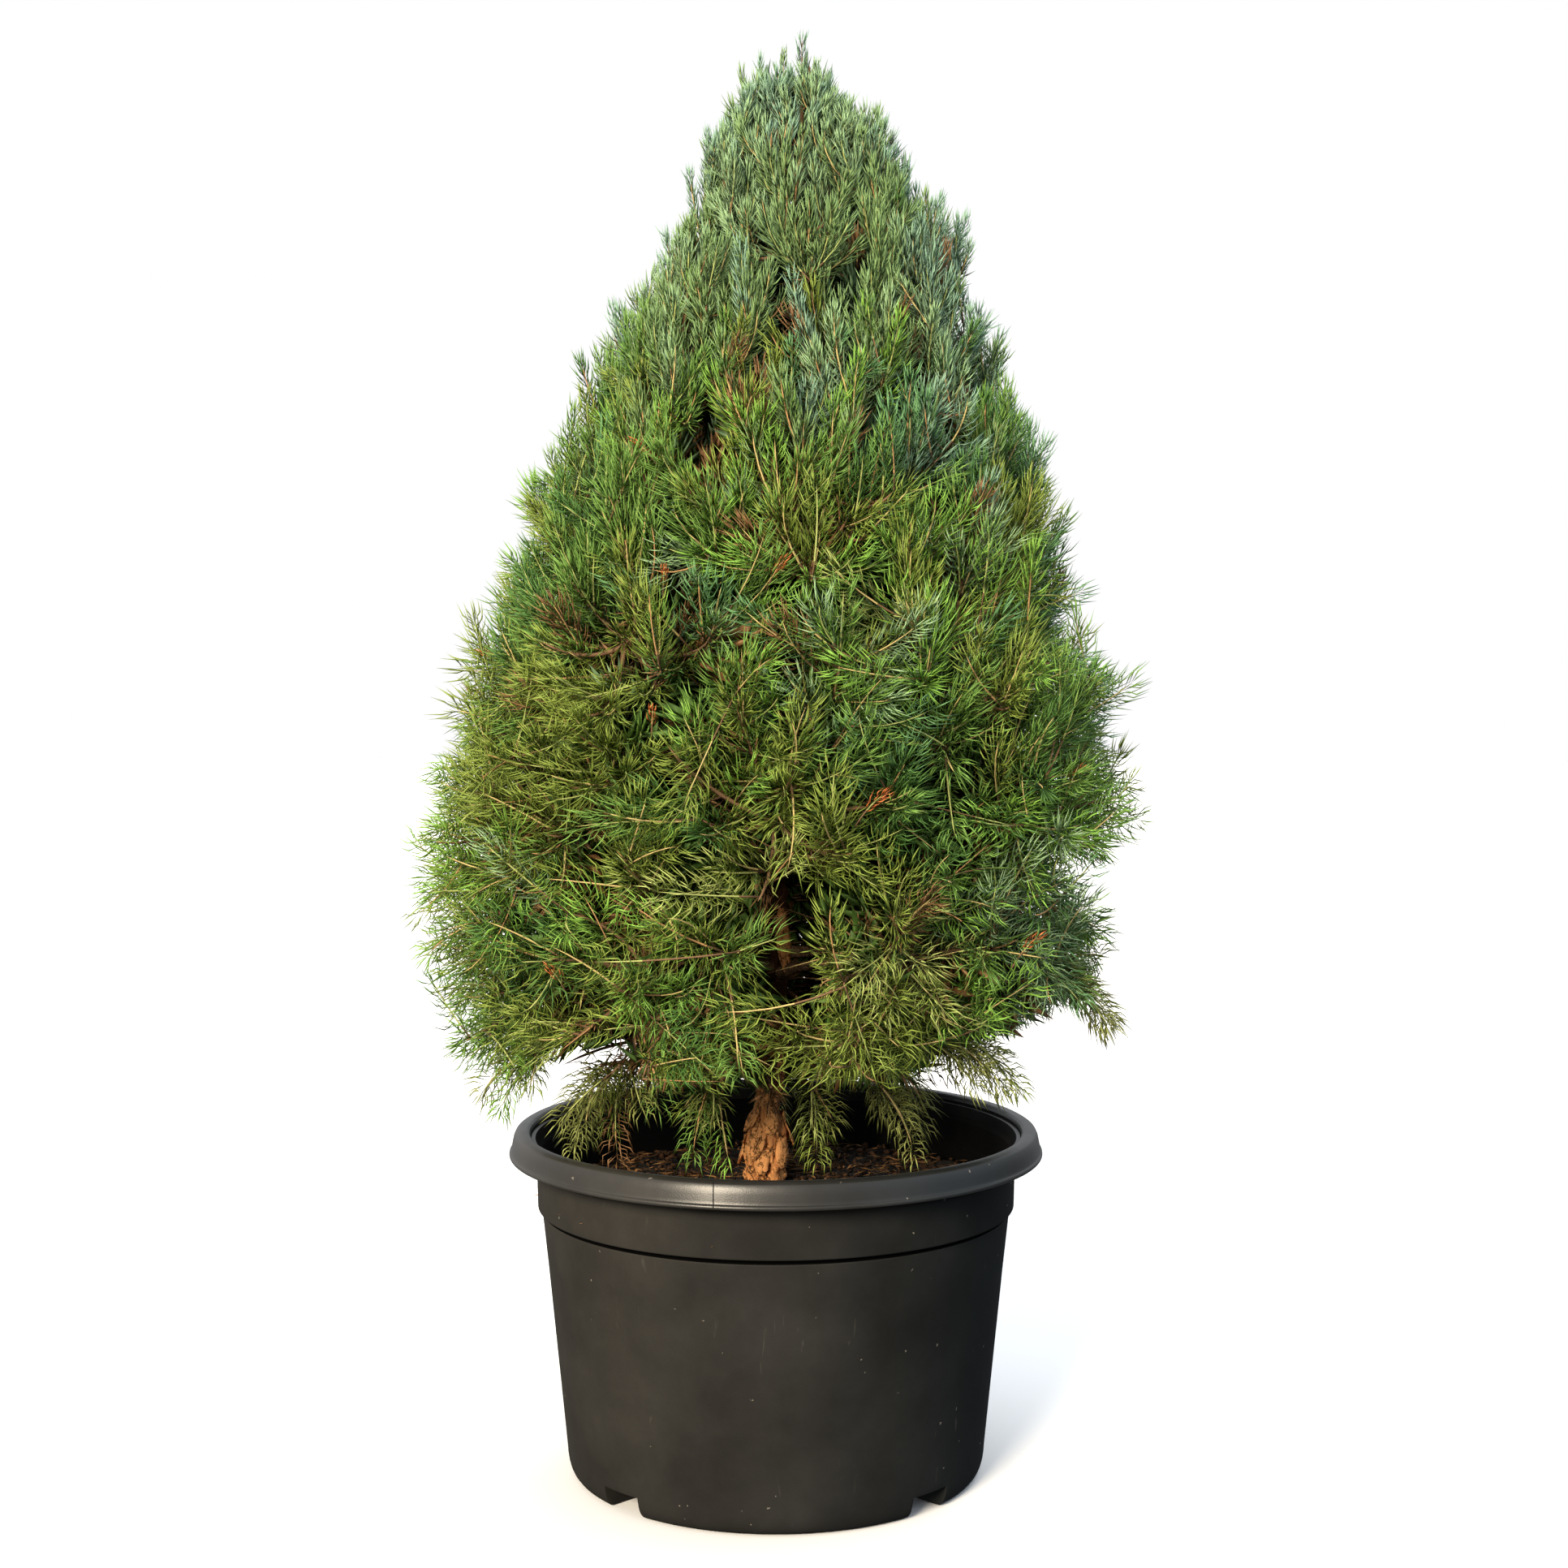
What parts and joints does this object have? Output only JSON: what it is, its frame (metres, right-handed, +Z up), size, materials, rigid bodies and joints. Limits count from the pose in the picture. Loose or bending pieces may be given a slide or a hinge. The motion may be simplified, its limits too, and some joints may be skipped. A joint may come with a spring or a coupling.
{
  "type": "potted lacebark pine",
  "caption": "Young evergreen tree in a round tapered nursery pot: a dense cone of needle sprays on a leaning trunk, standing on the pot's flat underside.",
  "frame": {"origin": "middle of the pot's flat underside", "axes": "+Z up along the pot's axis, -Y towards the front of the picture, +X to its right; the trunk leans a little towards +X"},
  "size_m": [0.6541, 0.6375, 1.3375],
  "materials": {
    "pot_plastic": "moulded black plastic with a faint sheen on the rim and dust and scuffs on the wall",
    "growing_mix": "loose brown bark chips",
    "bark": "orange-brown bark in small flaking plates",
    "bough_bark": "tan bark",
    "low_needles": "bright olive-green needles with straw tips",
    "middle_needles": "mid-green needles",
    "top_needles": "cool grey-green needles"
  },
  "bodies": {
    "root": {"pot": "pot_plastic", "soil": "growing_mix", "trunk": "bark", "low_bough_1": "bough_bark", "low_bough_2": "bough_bark", "low_bough_3": "bough_bark", "low_bough_4": "bough_bark", "low_bough_5": "bough_bark", "low_bough_6": "bough_bark", "middle_bough_1": "bough_bark", "middle_bough_2": "bough_bark", "middle_bough_3": "bough_bark", "middle_bough_4": "bough_bark", "middle_bough_5": "bough_bark", "shoulder_bough_1": "bough_bark", "shoulder_bough_2": "bough_bark", "shoulder_bough_3": "bough_bark", "shoulder_bough_4": "bough_bark", "skirt_bough_1": "bough_bark", "skirt_bough_2": "bough_bark", "skirt_bough_3": "bough_bark", "skirt_bough_4": "bough_bark", "skirt_bough_5": "bough_bark", "upper_bough_1": "bough_bark", "upper_bough_2": "bough_bark", "upper_bough_3": "bough_bark", "upper_bough_4": "bough_bark", "crest_mass_1": "top_needles", "crest_mass_2": "top_needles", "crest_mass_3": "top_needles", "high_mass_1": "top_needles", "high_mass_2": "top_needles", "high_mass_3": "top_needles", "leader_mass": "top_needles", "low_mass_1": "low_needles", "low_mass_2": "low_needles", "low_mass_3": "low_needles", "low_mass_4": "low_needles", "low_mass_5": "low_needles", "low_mass_6": "low_needles", "middle_mass_1": "middle_needles", "middle_mass_2": "middle_needles", "middle_mass_3": "middle_needles", "middle_mass_4": "middle_needles", "middle_mass_5": "middle_needles", "shoulder_mass_1": "top_needles", "shoulder_mass_2": "top_needles", "shoulder_mass_3": "top_needles", "shoulder_mass_4": "top_needles", "skirt_mass_1": "low_needles", "skirt_mass_2": "low_needles", "skirt_mass_3": "low_needles", "skirt_mass_4": "low_needles", "skirt_mass_5": "low_needles", "upper_mass_1": "middle_needles", "upper_mass_2": "middle_needles", "upper_mass_3": "middle_needles", "upper_mass_4": "middle_needles"}
  },
  "joints": []
}
